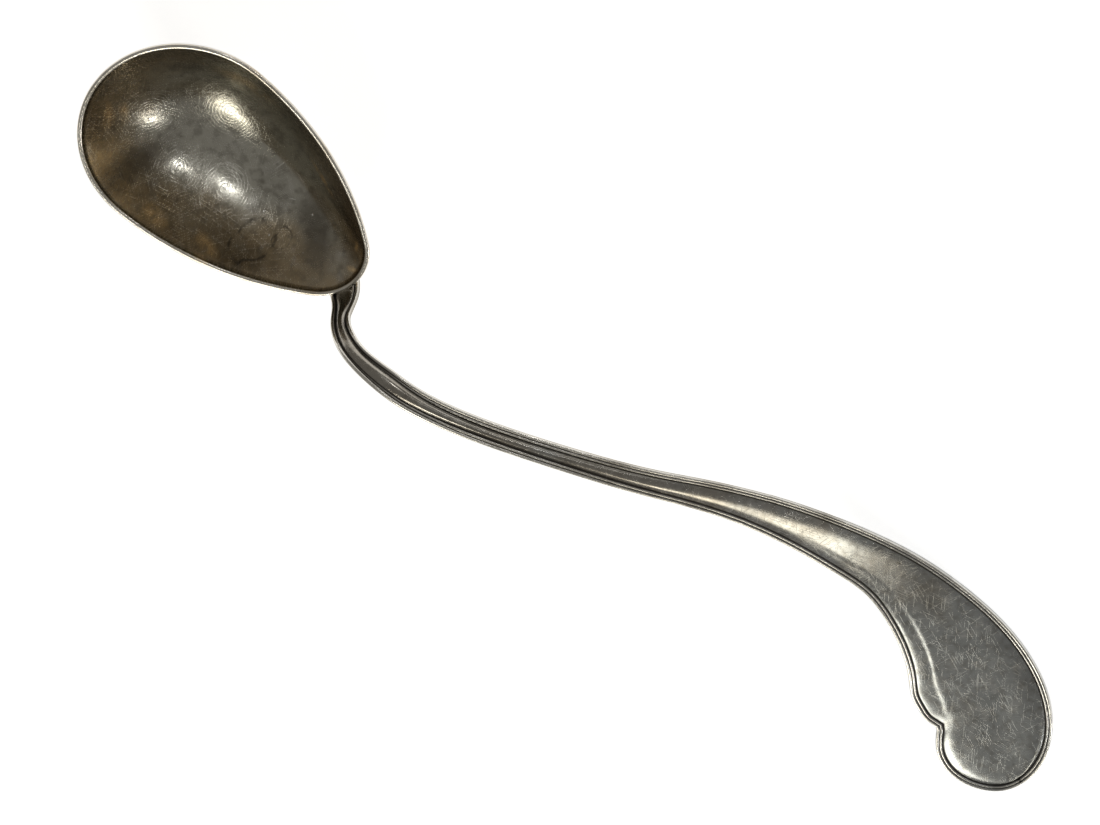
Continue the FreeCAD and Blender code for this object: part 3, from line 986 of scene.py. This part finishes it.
class NodeBoard:
    """Adds and links the nodes of one material."""

    def __init__(self, name: str) -> None:
        """Makes an empty metal.

        Args:
            name: name of the material.
        """
        self.material = bpy.data.materials.new(name)
        self.material.use_nodes = True
        self.tree = self.material.node_tree
        self.shader = self.tree.nodes["Principled BSDF"]
        self.place = self.add("ShaderNodeTexCoord").outputs["Object"]

    def add(self, kind: str) -> bpy.types.Node:
        """A new node of one kind."""
        return self.tree.nodes.new(kind)

    def feed(self, socket: bpy.types.NodeSocket, value: object) -> None:
        """Links an output to a socket, or sets the socket to a plain value.

        Args:
            socket: the socket to feed.
            value: another node's output, or a number, colour or vector.
        """
        if isinstance(value, bpy.types.NodeSocket):
            self.tree.links.new(value, socket)
        else:
            socket.default_value = value

    def attribute(self, name: str) -> bpy.types.NodeSocket:
        """Value that the mesh holds under a name.

        Args:
            name: name of the mesh's attribute.

        Returns:
            Its value.
        """
        node = self.add("ShaderNodeAttribute")
        node.attribute_name = name
        return node.outputs["Fac"]

    def compute(self, operation: str, first: object, second: object = 0.0) -> bpy.types.NodeSocket:
        """Result of one sum on two values.

        Args:
            operation: the sum, as the Math node names it.
            first: first value.
            second: second value.

        Returns:
            The result.
        """
        node = self.add("ShaderNodeMath")
        node.operation = operation
        self.feed(node.inputs[0], first)
        self.feed(node.inputs[1], second)
        return node.outputs[0]

    def shift(self, operation: str, first: object, second: object) -> bpy.types.Node:
        """Node for one sum on two vectors.

        Args:
            operation: the sum, as the Vector Math node names it.
            first: first vector.
            second: second vector.

        Returns:
            The node, since some sums give a vector and others a value.
        """
        node = self.add("ShaderNodeVectorMath")
        node.operation = operation
        self.feed(node.inputs[0], first)
        self.feed(node.inputs[1], second)
        return node

    def step(self, value: object, start: float, end: float) -> bpy.types.NodeSocket:
        """Eased rise from 0 to 1.

        Args:
            value: what it follows.
            start: value where it leaves 0.
            end: value where it reaches 1, above or below start.

        Returns:
            The risen share.
        """
        node = self.add("ShaderNodeMapRange")
        node.interpolation_type = "SMOOTHSTEP"
        self.feed(node.inputs["Value"], value)
        node.inputs["From Min"].default_value = start
        node.inputs["From Max"].default_value = end
        return node.outputs["Result"]

    def blend(self, share: object, first: object, second: object) -> bpy.types.NodeSocket:
        """Colour between two colours.

        Args:
            share: 0 for the first colour, 1 for the second.
            first: first colour.
            second: second colour.

        Returns:
            The colour.
        """
        node = self.add("ShaderNodeMix")
        node.data_type = "RGBA"
        self.feed(node.inputs["Factor"], share)
        for socket, value in ((node.inputs[6], first), (node.inputs[7], second)):
            self.feed(socket, (*value, 1.0) if isinstance(value, tuple) else value)
        return node.outputs[2]

    def noise(self, vector: object, scale: float, detail: float = 2.0) -> bpy.types.NodeSocket:
        """Cloudy pattern.

        Args:
            vector: places.
            scale: how close the clouds lie, per unit of the places.
            detail: how many finer clouds are added.

        Returns:
            Values from 0 to 1, mostly near 0.5.
        """
        node = self.add("ShaderNodeTexNoise")
        self.feed(node.inputs["Vector"], vector)
        node.inputs["Scale"].default_value = scale
        node.inputs["Detail"].default_value = detail
        return node.outputs["Fac"]

    def warped(self, scale: float, reach: float) -> bpy.types.NodeSocket:
        """Places moved about a little, so that lines drawn on them bend.

        Args:
            scale: how close the bends lie, per metre.
            reach: how far a place moves, in metres.

        Returns:
            The moved places.
        """
        cloud = self.add("ShaderNodeTexNoise")
        self.feed(cloud.inputs["Vector"], self.place)
        cloud.inputs["Scale"].default_value = scale
        cloud.inputs["Detail"].default_value = 1.0
        centred = self.shift("SUBTRACT", cloud.outputs["Color"], (0.5, 0.5, 0.5)).outputs[0]
        moved = self.shift("MULTIPLY", centred, (reach, reach, reach)).outputs[0]
        return self.shift("ADD", self.place, moved).outputs[0]

    def strokes(
        self, vector: object, angle: float, length: float, width: float, gap: float
    ) -> bpy.types.NodeSocket:
        """Scratches that run one way, seen from above.

        Args:
            vector: places.
            angle: degrees from the length of the ladle.
            length: of a scratch, in metres.
            width: of a scratch, in metres.
            gap: 0.6 for many scratches, 0.75 for few.

        Returns:
            1 on a scratch, 0 between them.
        """
        turn = self.add("ShaderNodeMapping")
        turn.vector_type = "TEXTURE"
        self.feed(turn.inputs["Vector"], vector)
        turn.inputs["Location"].default_value = (angle * STROKE_SHIFT[0], angle * STROKE_SHIFT[1], 0.0)
        turn.inputs["Rotation"].default_value = (0.0, 0.0, math.radians(angle))
        turn.inputs["Scale"].default_value = (length, width, 1.0)
        return self.step(self.noise(turn.outputs[0], 1.0, 0.0), gap, gap + STROKE_EDGE)

    def away_from(self, vector: object, mark: Mark) -> bpy.types.NodeSocket:
        """How far places lie from a mark, seen from above.

        Args:
            vector: places.
            mark: the mark.

        Returns:
            0 at the mark's middle and 1 at its edge.
        """
        turn = self.add("ShaderNodeMapping")
        turn.vector_type = "TEXTURE"
        self.feed(turn.inputs["Vector"], vector)
        turn.inputs["Location"].default_value = (mark.x * MM, mark.y * MM, 0.0)
        turn.inputs["Rotation"].default_value = (0.0, 0.0, math.radians(mark.angle))
        turn.inputs["Scale"].default_value = (mark.reach[0] * MM, mark.reach[1] * MM, MARK_HEIGHT)
        length = self.add("ShaderNodeVectorMath")
        length.operation = "LENGTH"
        self.feed(length.inputs[0], turn.outputs[0])
        return length.outputs["Value"]

    def total(self, values: Sequence[object]) -> bpy.types.NodeSocket:
        """Sum of several values.

        Args:
            values: at least one.

        Returns:
            The sum.
        """
        result = values[0]
        for value in values[1:]:
            result = self.compute("ADD", result, value)
        return result

    def specks(self, scale: float, size: float, offset: float) -> bpy.types.NodeSocket:
        """Small round specks, 1 inside them.

        Args:
            scale: how close they lie, per metre.
            size: radius as a share of their spacing.
            offset: moves the pattern.

        Returns:
            The pattern.
        """
        moved = self.shift("ADD", self.place, (offset, offset, offset)).outputs[0]
        node = self.add("ShaderNodeTexVoronoi")
        self.feed(node.inputs["Vector"], moved)
        node.inputs["Scale"].default_value = scale
        return self.step(node.outputs["Distance"], size, size * 0.5)

    def swirl(self, centre: tuple, reach: float) -> bpy.types.NodeSocket:
        """Fine rubbed rings round a place, seen from above.

        Args:
            centre: the place, in metres.
            reach: how far out they fade, in metres.

        Returns:
            Rings from 0 to 1.
        """
        # Round a highlight, the colour lightens these rings as painted highlight.
        flat = self.shift("MULTIPLY", self.warped(60.0, 0.0009), (1.0, 1.0, 0.0)).outputs[0]
        node = self.shift("DISTANCE", flat, (centre[0], centre[1], 0.0))
        away = node.outputs["Value"]
        wave = self.compute("SINE", self.compute("MULTIPLY", away, 2.0 * math.pi / SWIRL_SPACING))
        line = self.step(wave, 0.2, 0.95)
        fade = self.step(away, reach, reach * 0.4)
        patch = self.step(self.noise(self.place, 300.0), 0.40, 0.58)
        return self.compute("MULTIPLY", self.compute("MULTIPLY", line, fade), patch)


@dataclass(frozen=True)
class AgedSilver:
    """Old silver plate: grey-brown patina over bright metal, rubbed edges and fine scratches.

    Colours are linear, depths and scratch_size are in metres, and a scale says how close a
    pattern lies, per metre. scratch_gap is higher where the scratches are fewer, and mottle is
    how uneven the patina is within a few millimetres. A share is how strong a layer of colour is.
    """

    name: str = "aged_silver"
    cool: tuple = (0.52, 0.50, 0.425)
    warm: tuple = (0.44, 0.35, 0.225)
    rubbed: tuple = (0.90, 0.87, 0.80)
    tarnish: tuple = (0.13, 0.112, 0.085)
    black: tuple = (0.035, 0.03, 0.025)
    roughness: float = 0.19
    warm_zone: tuple = (0.55, 0.95)
    dirt: float = 0.40
    mottle: float = 0.42
    scratch_gap: float = 0.67
    scratch_size: tuple = (0.009, 0.00016)
    cloud_scale: float = 46.0
    blotch_scale: float = 60.0
    speckle_scale: float = 420.0
    clean_scale: float = 240.0
    wave_scale: float = 85.0
    grain_scale: float = 2600.0
    scratch_share: float = 0.13
    swirl_highlight_share: float = 0.13
    rub_share: float = 0.85
    grime_and_shade_share: float = 0.93
    wave_depth: float = 0.00005
    grain_depth: float = 0.0000022
    scratch_depth: float = 0.000005
    swirl_depth: float = 0.000011
    scratch_angles: tuple = (8.0, 41.0, 73.0, 118.0, 152.0)
    swirls: tuple = ()
    marks: tuple = ()
    # Colour of the painted golden reflections.
    painted_gold_reflection: tuple = (1.0, 0.74, 0.42)

    def make(self) -> bpy.types.Material:
        """Builds the material's nodes.

        Returns:
            The material.
        """
        board = NodeBoard(self.name)
        scratches = self.scratches(board)
        swirls = board.total([board.swirl(*swirl) for swirl in self.swirls] or [0.0])
        grain = board.noise(board.place, self.grain_scale)
        self.color(board, scratches, swirls)
        self.gloss(board, scratches, swirls)
        self.relief(board, scratches, swirls, grain)
        return board.material

    def scratches(self, board: NodeBoard) -> bpy.types.NodeSocket:
        """Fine scratches in several directions.

        Args:
            board: the material's nodes.

        Returns:
            1 on a scratch, more where scratches cross, 0 between them.
        """
        bent = board.warped(20.0, 0.0002)
        length, width = self.scratch_size
        return board.total(
            [board.strokes(bent, angle, length, width, self.scratch_gap) for angle in self.scratch_angles]
        )

    def color(self, board: NodeBoard, scratches: object, swirls: object) -> None:
        """Patina: cool where it is clean, warm where the tarnish starts, dark in the grooves.

        Args:
            board: the material's nodes.
            scratches: the scratches' pattern.
            swirls: the rubbed rings' pattern round the highlights, lightened as painted highlight.
        """
        zone = board.attribute(ZONE)
        cloud = board.noise(board.place, self.cloud_scale, 4.0)
        drift = board.compute("MULTIPLY", board.compute("SUBTRACT", cloud, 0.5), 0.9)
        uneven = board.compute("ADD", zone, drift)
        base = board.blend(board.step(uneven, *self.warm_zone), self.cool, self.warm)
        blotch = board.noise(board.warped(30.0, 0.006), self.blotch_scale, 5.0)
        blotch = board.step(blotch, 0.46, 0.78)
        speckle = board.noise(board.warped(160.0, 0.002), self.speckle_scale, 5.0)
        speckle = board.step(speckle, 0.44, 0.68)
        speckle = board.compute("MULTIPLY", speckle, self.mottle)
        dark = board.compute("ADD", board.compute("MULTIPLY", blotch, self.dirt), speckle)
        base = board.blend(board.compute("MINIMUM", dark, 0.85), base, self.tarnish)
        light = board.compute("MULTIPLY", board.compute("MINIMUM", scratches, 1.0), self.scratch_share)
        base = board.blend(light, base, self.rubbed)
        clean = board.step(board.noise(board.place, self.clean_scale, 5.0), 0.50, 0.74)
        base = board.blend(board.compute("MULTIPLY", clean, self.mottle * 0.5), base, self.rubbed)
        bent = board.warped(150.0, 0.004)
        for mark in self.marks:
            base = self.marked(board, base, bent, mark)
        # Painted highlight: the rubbed rings round the highlights are lightened.
        base = board.blend(board.compute("MULTIPLY", swirls, self.swirl_highlight_share), base, self.rubbed)
        light_specks = board.compute("MULTIPLY", board.specks(210.0, 0.035, 0.3), 0.7)
        base = board.blend(light_specks, base, self.rubbed)
        dark_specks = board.compute("MULTIPLY", board.specks(260.0, 0.040, 0.8), 0.8)
        base = board.blend(dark_specks, base, self.black)
        rub = board.compute("MULTIPLY", board.attribute(WEAR), board.step(cloud, 0.25, 0.5))
        base = board.blend(board.compute("MULTIPLY", rub, self.rub_share), base, self.rubbed)
        # Dark tarnish in the grooves, and painted shade under the edges and the rim's bead.
        grime_and_shade = board.compute("MULTIPLY", board.attribute(GRIME_AND_SHADE), self.grime_and_shade_share)
        base = board.blend(grime_and_shade, base, self.black)
        board.feed(board.shader.inputs["Base Color"], base)

    def marked(self, board: NodeBoard, base: object, bent: object, mark: Mark) -> bpy.types.NodeSocket:
        """Colour with one mark added.

        Args:
            board: the material's nodes.
            base: colour without the mark.
            bent: places moved about a little.
            mark: the mark.

        Returns:
            The colour.
        """
        if mark.kind is MarkKind.SCRATCH:
            inside = board.step(board.away_from(board.place, mark), 1.0, 0.5)
            color = self.rubbed
        elif mark.kind is MarkKind.GOLD_REFLECTION:
            # Painted reflection: a golden glint, broken up by noise.
            inside = board.step(board.away_from(board.place, mark), 1.0, 0.0)
            inside = board.compute("MULTIPLY", inside, board.step(board.noise(bent, 300.0), 0.25, 0.55))
            color = self.painted_gold_reflection
        elif mark.kind is MarkKind.OUTLINE:
            off = board.compute("ABSOLUTE", board.compute("SUBTRACT", board.away_from(bent, mark), 1.0))
            inside = board.step(off, 0.12, 0.03)
            worn = board.step(board.noise(board.place, 230.0), 0.35, 0.60)
            inside = board.compute("MULTIPLY", inside, worn)
            color = self.black
        else:
            inside = board.step(board.away_from(bent, mark), 1.0, 0.2)
            color = self.tarnish
        return board.blend(board.compute("MULTIPLY", inside, mark.share), base, color)

    def gloss(self, board: NodeBoard, scratches: object, swirls: object) -> None:
        """Roughness: satin, duller on scratches and in the grooves.

        Args:
            board: the material's nodes.
            scratches: the scratches' pattern.
            swirls: the rubbed rings' pattern.
        """
        board.shader.inputs["Metallic"].default_value = 1.0
        cloud = board.compute("MULTIPLY", board.noise(board.place, 130.0, 4.0), 0.14)
        rough = board.compute("ADD", cloud, self.roughness - 0.07)
        rough = board.compute("ADD", rough, board.compute("MULTIPLY", scratches, 0.05))
        rough = board.compute("ADD", rough, board.compute("MULTIPLY", swirls, 0.06))
        rough = board.compute("ADD", rough, board.compute("MULTIPLY", board.attribute(GRIME_AND_SHADE), 0.3))
        board.feed(board.shader.inputs["Roughness"], rough)

    def relief(self, board: NodeBoard, scratches: object, swirls: object, grain: object) -> None:
        """Bump: soft unevenness, fine grain and scratches, in metres.

        Args:
            board: the material's nodes.
            scratches: the scratches' pattern.
            swirls: the rubbed rings' pattern.
            grain: the grain's pattern.
        """
        wave = board.compute("MULTIPLY", board.noise(board.place, self.wave_scale), self.wave_depth)
        fine = board.compute("MULTIPLY", grain, self.grain_depth)
        lines = board.compute("MULTIPLY", scratches, -self.scratch_depth)
        rings = board.compute("MULTIPLY", swirls, -self.swirl_depth)
        bump = board.add("ShaderNodeBump")
        bump.inputs["Strength"].default_value = 1.0
        bump.inputs["Distance"].default_value = 1.0
        board.feed(bump.inputs["Height"], board.total([wave, fine, lines, rings]))
        board.feed(board.shader.inputs["Normal"], bump.outputs["Normal"])


BOWL_SILVER = AgedSilver(
    name="bowl_silver",
    # Rubbed rings centred on the bowl's highlights: real relief, with a lighter colour that is painted
    # highlight.
    swirls=(
        ((-0.1543, -0.0141), 0.011),
        ((-0.1365, -0.0031), 0.015),
        ((-0.1373, -0.0227), 0.011),
        ((-0.1239, -0.0198), 0.010),
    ),
    marks=(
        Mark(MarkKind.STAIN, -148.5, -28.0, 60.0, (12.0, 6.5), 0.75),
        Mark(MarkKind.STAIN, -98.0, -9.5, -35.0, (14.0, 7.0), 0.72),
        Mark(MarkKind.STAIN, -155.3, 3.9, 30.0, (8.0, 3.5), 0.55),
        Mark(MarkKind.STAIN, -144.4, 8.8, 20.0, (7.0, 2.6), 0.60),
        Mark(MarkKind.STAIN, -112.0, -26.0, 10.0, (13.0, 4.0), 0.40),
        # Painted golden reflections of the lamps inside the bowl, near the rim.
        Mark(MarkKind.GOLD_REFLECTION, -162.6, -17.4, 130.0, (7.0, 1.6), 0.80),
        Mark(MarkKind.GOLD_REFLECTION, -159.4, -16.4, 130.0, (5.0, 1.5), 0.75),
        Mark(MarkKind.GOLD_REFLECTION, -106.5, 4.2, -15.0, (8.0, 1.3), 0.95),
        Mark(MarkKind.GOLD_REFLECTION, -134.6, -32.2, -2.0, (6.0, 1.9), 0.85),
        Mark(MarkKind.GOLD_REFLECTION, -118.4, -29.6, 0.0, (6.0, 1.8), 0.85),
        Mark(MarkKind.GOLD_REFLECTION, -116.2, -31.8, 0.0, (5.0, 1.1), 0.75),
        Mark(MarkKind.GOLD_REFLECTION, -138.5, 11.0, 12.0, (15.0, 4.5), 0.45),
        Mark(MarkKind.GOLD_REFLECTION, -88.1, -0.6, -55.0, (2.2, 1.0), 0.90),
        Mark(MarkKind.GOLD_REFLECTION, -84.6, -6.3, 45.0, (2.2, 1.1), 0.90),
        Mark(MarkKind.OUTLINE, -108.9, -22.4, 42.0, (5.8, 3.9), 0.62),
        Mark(MarkKind.OUTLINE, -103.2, -17.9, 42.0, (2.4, 2.0), 0.60),
        Mark(MarkKind.SCRATCH, -116.3, -5.0, 83.0, (3.6, 0.16), 0.60),
        Mark(MarkKind.SCRATCH, -117.6, -6.0, 80.0, (2.0, 0.13), 0.50),
        Mark(MarkKind.SCRATCH, -110.0, -3.5, -10.0, (2.6, 0.30), 0.65),
        Mark(MarkKind.SCRATCH, -147.2, -15.2, 93.0, (1.2, 0.16), 0.70),
        Mark(MarkKind.SCRATCH, -107.8, -9.6, 35.0, (1.3, 0.20), 0.65),
        Mark(MarkKind.SCRATCH, -111.5, -16.9, 0.0, (0.35, 0.35), 0.90),
        Mark(MarkKind.SCRATCH, -101.1, -7.8, 0.0, (0.35, 0.35), 0.90),
        Mark(MarkKind.SCRATCH, -106.4, -19.2, 0.0, (0.30, 0.30), 0.90),
    ),
)
HANDLE_SILVER = AgedSilver(
    name="handle_silver",
    cool=(0.375, 0.388, 0.385),
    warm=(0.345, 0.318, 0.275),
    warm_zone=(0.85, 0.30),
    roughness=0.23,
    dirt=0.26,
    mottle=0.32,
    scratch_gap=0.73,
    scratch_angles=(-20.0, 12.0, 48.0, 80.0, 131.0),
    marks=(
        Mark(MarkKind.SCRATCH, 140.5, 28.0, -5.0, (2.2, 0.14), 0.55),
        Mark(MarkKind.SCRATCH, 142.0, 26.4, 2.0, (2.0, 0.12), 0.45),
        Mark(MarkKind.SCRATCH, 142.7, 25.7, 20.0, (1.8, 0.12), 0.55),
        Mark(MarkKind.SCRATCH, 145.0, 23.9, 10.0, (1.8, 0.11), 0.45),
        Mark(MarkKind.SCRATCH, 146.7, 22.8, 15.0, (2.0, 0.13), 0.50),
        Mark(MarkKind.SCRATCH, 119.3, 24.1, -38.0, (1.7, 0.13), 0.70),
        Mark(MarkKind.SCRATCH, 121.6, 23.3, 42.0, (7.5, 0.09), 0.35),
        Mark(MarkKind.SCRATCH, 131.2, 16.2, 25.0, (1.4, 0.14), 0.75),
        Mark(MarkKind.SCRATCH, 140.8, 15.3, -34.0, (3.6, 0.09), 0.40),
        Mark(MarkKind.SCRATCH, 137.4, 10.0, 34.0, (1.4, 0.15), 0.75),
        Mark(MarkKind.SCRATCH, 149.9, 10.0, -28.0, (1.2, 0.17), 0.75),
        Mark(MarkKind.SCRATCH, 157.2, 7.4, 40.0, (1.1, 0.15), 0.70),
        Mark(MarkKind.SCRATCH, 104.8, 31.2, 60.0, (1.5, 0.12), 0.60),
        Mark(MarkKind.STAIN, 90.6, 30.0, 20.0, (0.8, 0.7), 0.60),
        Mark(MarkKind.STAIN, 106.4, 26.9, -25.0, (14.0, 6.0), 0.35),
    ),
)


@dataclass(frozen=True)
class Lamp:
    """A soft lamp, placed by the direction from which its light comes.

    only names the one piece that it lights, where it doesn't light all of them.
    """

    name: str
    azimuth: float
    elevation: float
    away: float
    size: tuple
    power: float
    color: tuple
    only: str = ""


@dataclass
class Studio:
    """Camera, lamps, world and floor."""

    camera_place: tuple = (-0.229655, 0.410818, 0.822351)
    camera_right: tuple = (0.73727897, 0.66049493, -0.14200767)
    camera_up: tuple = (-0.63500487, 0.60575159, -0.47940987)
    camera_back: tuple = (-0.23062641, 0.44363437, 0.8660254)
    lens: float = 108.2
    sensor: float = 36.0
    view_end: float = 60.0
    world_grey: tuple = (0.23, 0.225, 0.215)
    floor_size: float = 40.0
    floor_height: float = -0.0001
    floor_color: tuple = (0.92, 0.92, 0.92, 1.0)
    floor_roughness: float = 0.9
    floor_white: float = 0.74
    lamps: tuple = (
        Lamp("window", -65.0, 40.0, 1.8, (0.76, 0.64), 7.2, (1.0, 0.965, 0.86)),
        Lamp("left_spot", 80.0, 27.0, 1.7, (0.14, 0.11), 0.80, (0.97, 0.98, 1.0)),
        Lamp("right_spot", 105.0, 35.5, 1.7, (0.17, 0.14), 1.15, (0.97, 0.98, 1.0)),
        Lamp("low_lamp", 7.0, 16.0, 1.6, (0.28, 0.28), 3.3, (1.0, 0.99, 0.97)),
        Lamp("stem_lamp", -19.0, 29.0, 1.7, (0.42, 0.46), 2.0, (1.0, 0.94, 0.80), "handle"),
    )

    def camera(self) -> None:
        """Sets the camera at the photograph's angle."""
        data = bpy.data.cameras.new("camera")
        data.lens = self.lens
        data.sensor_width = self.sensor
        data.clip_end = self.view_end
        camera = bpy.data.objects.new("camera", data)
        bpy.context.scene.collection.objects.link(camera)
        axes = np.column_stack([self.camera_right, self.camera_up, self.camera_back])
        matrix = Matrix(axes.tolist()).to_4x4()
        matrix.translation = Vector(self.camera_place)
        camera.matrix_world = matrix
        bpy.context.scene.camera = camera

    def seen(self, tree: bpy.types.NodeTree) -> bpy.types.NodeSocket:
        """Tells what is looked at from what only lights other things.

        Args:
            tree: nodes of the material that asks.

        Returns:
            1 for what the camera, a mirror or a glass sees, 0 for light on other things.
        """
        path = tree.nodes.new("ShaderNodeLightPath")
        result = path.outputs["Is Camera Ray"]
        for name in ("Is Glossy Ray", "Is Transmission Ray"):
            either = tree.nodes.new("ShaderNodeMath")
            either.operation = "MAXIMUM"
            tree.links.new(result, either.inputs[0])
            tree.links.new(path.outputs[name], either.inputs[1])
            result = either.outputs[0]
        return result

    def floor(self) -> None:
        """Lays the white table."""
        bpy.ops.object.select_all(action="DESELECT")
        bpy.ops.mesh.primitive_plane_add(size=self.floor_size, location=(0.0, 0.0, self.floor_height))
        floor = bpy.context.view_layer.objects.active
        floor.name = "table"
        material = bpy.data.materials.new("white_table")
        material.use_nodes = True
        tree = material.node_tree
        shader = tree.nodes["Principled BSDF"]
        shader.inputs["Base Color"].default_value = self.floor_color
        shader.inputs["Roughness"].default_value = self.floor_roughness
        shader.inputs["Specular IOR Level"].default_value = 0.0
        shader.inputs["Emission Color"].default_value = (1.0, 1.0, 1.0, 1.0)
        glow = tree.nodes.new("ShaderNodeMath")
        glow.operation = "MULTIPLY"
        glow.inputs[1].default_value = self.floor_white
        tree.links.new(self.seen(tree), glow.inputs[0])
        tree.links.new(glow.outputs[0], shader.inputs["Emission Strength"])
        floor.data.materials.append(material)

    def hang(self, lamp: Lamp) -> None:
        """Hangs one soft lamp.

        Args:
            lamp: the lamp.
        """
        azimuth, elevation = math.radians(lamp.azimuth), math.radians(lamp.elevation)
        level = math.cos(elevation)
        way = Vector((math.cos(azimuth) * level, math.sin(azimuth) * level, math.sin(elevation)))
        data = bpy.data.lights.new(lamp.name, "AREA")
        data.shape = "ELLIPSE"
        data.size, data.size_y = lamp.size
        data.energy = lamp.power
        data.color = lamp.color
        holder = bpy.data.objects.new(lamp.name, data)
        bpy.context.scene.collection.objects.link(holder)
        holder.location = way * lamp.away
        holder.rotation_euler = way.to_track_quat("Z", "Y").to_euler()
        holder.visible_camera = False
        if lamp.only:
            lit = bpy.data.collections.new(lamp.name)
            lit.objects.link(bpy.data.objects[lamp.only])
            holder.light_linking.receiver_collection = lit

    def world(self) -> None:
        """Sets a dim, plain world."""
        world = bpy.data.worlds.new("room")
        bpy.context.scene.world = world
        world.use_nodes = True
        world.node_tree.nodes["Background"].inputs["Color"].default_value = (*self.world_grey, 1.0)

    def build(self) -> None:
        """Sets up all of it."""
        bpy.context.scene.view_settings.view_transform = "Standard"
        self.camera()
        self.floor()
        self.world()
        for lamp in self.lamps:
            self.hang(lamp)


def dress(piece: bpy.types.Object, silver: AgedSilver) -> None:
    """Gives a piece its finish and says what it stands for.

    Args:
        piece: the piece.
        silver: its finish.
    """
    piece.data.materials.append(silver.make())
    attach(piece, BODY)
    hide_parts(CAD_NODE)


def main() -> None:
    """Builds the ladle and its studio, piece by piece."""
    logging.basicConfig(level=logging.INFO, format="%(message)s")
    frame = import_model()
    bowl = Bowl()
    handle = Handle(Spine(bowl.tip), bowl)
    for maker, silver in ((bowl, BOWL_SILVER), (handle, HANDLE_SILVER)):
        piece = maker.build()
        dress(piece, silver)
        log.info("%s: %d faces", piece.name, len(piece.data.polygons))
    Studio().build()
    log.info("nodes in the frame: %s", ", ".join(sorted(frame["nodes"])))


if __name__ == "__main__":
    main()
